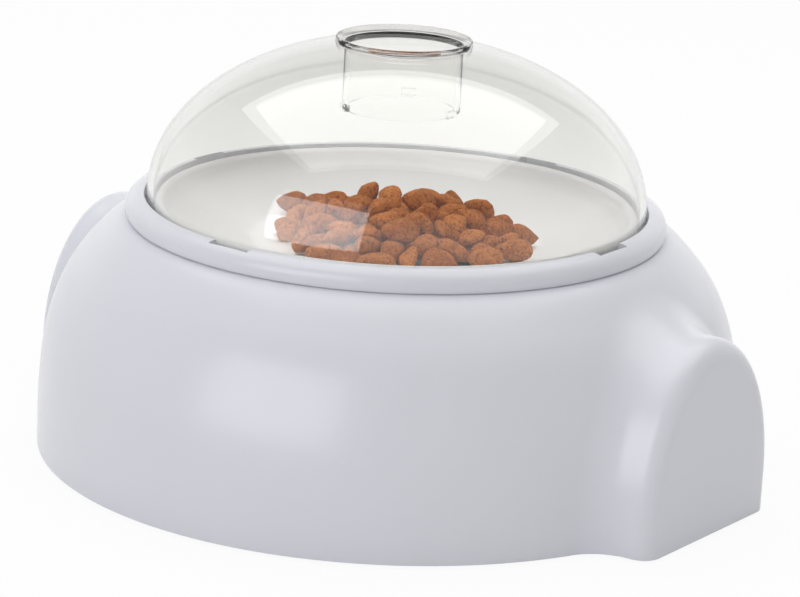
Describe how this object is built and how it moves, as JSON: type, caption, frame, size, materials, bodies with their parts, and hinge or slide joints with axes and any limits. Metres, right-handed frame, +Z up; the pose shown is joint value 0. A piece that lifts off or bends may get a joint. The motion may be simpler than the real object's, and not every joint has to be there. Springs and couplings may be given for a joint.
{
  "type": "automatic pet food dispenser",
  "caption": "Clear twist-lock dome over a white two-lobed base that meters dry food into a pull-out dish with a motor-driven rotor.",
  "frame": {"origin": "on the floor under the middle of the body", "axes": "+Z up along the dome and rotor axis, +X along the closed battery lobe, -X along the lobe with the feeding bay, +Y to the control panel"},
  "size_m": [0.312, 0.2834, 0.1693],
  "materials": {
    "white_gloss": "gloss white",
    "tray_white": "satin white",
    "clear": "clear, faint warm tint",
    "food": "rough orange-brown",
    "grey_plastic": "matt grey",
    "acetal": "natural acetal",
    "steel": "plain",
    "brass": "turned",
    "rubber": "matt black",
    "silicone": "grey silicone",
    "board": "green solder mask",
    "cell_wrap": "plain dark wrap",
    "wire": "red insulation"
  },
  "bodies": {
    "base": {"body_shell": "white_gloss", "rim_collar": "white_gloss", "hopper_tray": "tray_white", "alcove_liner": "tray_white", "status_lens": "clear", "kibble_heap": "food", "meter_housing": "grey_plastic", "gear_frame": "grey_plastic", "outlet_chute": "grey_plastic", "base_plate": "grey_plastic", "battery_box": "grey_plastic", "control_bezel": "grey_plastic", "gear_motor": "steel", "motor_screw_1": "steel", "motor_screw_2": "steel", "flap_pin": "steel", "switch_block": "steel", "base_screw_1": "steel", "rubber_foot_1": "rubber", "battery_cell_1": "cell_wrap", "base_screw_2": "steel", "rubber_foot_2": "rubber", "battery_cell_2": "cell_wrap", "base_screw_3": "steel", "rubber_foot_3": "rubber", "battery_cell_3": "cell_wrap", "base_screw_4": "steel", "rubber_foot_4": "rubber", "battery_cell_4": "cell_wrap", "cell_contact_1": "steel", "cell_contact_2": "steel", "cell_contact_3": "steel", "cell_contact_4": "steel", "cell_contact_5": "steel", "upper_bush": "brass", "lower_bush": "brass", "tact_switch": "rubber", "circuit_board": "board", "motor_lead": "wire", "battery_lead": "wire"},
    "lid_ring": {"dome_gasket": "silicone"},
    "dome": {"dome_lid": "clear", "fill_tube": "clear"},
    "rotor": {"agitator": "grey_plastic", "rotor_shaft": "steel", "meter_rotor": "acetal", "drive_gear": "acetal", "retaining_ring": "steel"},
    "pinion": {"motor_pinion": "brass", "motor_shaft": "steel"},
    "flap": {"outlet_flap": "tray_white"},
    "dish": {"feed_dish": "tray_white"},
    "door": {"battery_door": "grey_plastic"},
    "button": {"feed_button": "white_gloss"},
    "switch": {"power_switch": "rubber"}
  },
  "joints": [
    {"name": "dome_lift", "type": "slide", "parent": "base", "child": "lid_ring", "axis": [0, 0, 1], "range_m": [0, 0.06]},
    {"name": "dome_turn", "type": "hinge", "parent": "lid_ring", "child": "dome", "pos_m": [0, 0, 0.0965], "axis": [0, 0, 1], "range_deg": [-25, 0]},
    {"name": "rotor_spin", "type": "hinge", "parent": "base", "child": "rotor", "pos_m": [0, 0, 0.036], "axis": [0, 0, 1], "continuous": true},
    {"name": "pinion_spin", "type": "hinge", "parent": "base", "child": "pinion", "pos_m": [0.0308, 0, 0.0397], "axis": [0, 0, 1], "continuous": true},
    {"name": "flap_swing", "type": "hinge", "parent": "base", "child": "flap", "pos_m": [-0.0885, 0, 0.046], "axis": [0, 1, 0], "range_deg": [0, 65]},
    {"name": "dish_slide", "type": "slide", "parent": "base", "child": "dish", "axis": [-1, 0, 0], "range_m": [0, 0.062]},
    {"name": "door_slide", "type": "slide", "parent": "base", "child": "door", "axis": [-1, 0, 0], "range_m": [0, 0.055]},
    {"name": "button_press", "type": "slide", "parent": "base", "child": "button", "axis": [0, -1, 0], "range_m": [0, 0.0018], "stiffness_N_per_m": 300},
    {"name": "switch_slide", "type": "slide", "parent": "base", "child": "switch", "axis": [-1, 0, 0], "range_m": [0, 0.005]}
  ],
  "couplings": [
    {"joint": "pinion_spin", "follows": "rotor_spin", "ratio": -3}
  ]
}
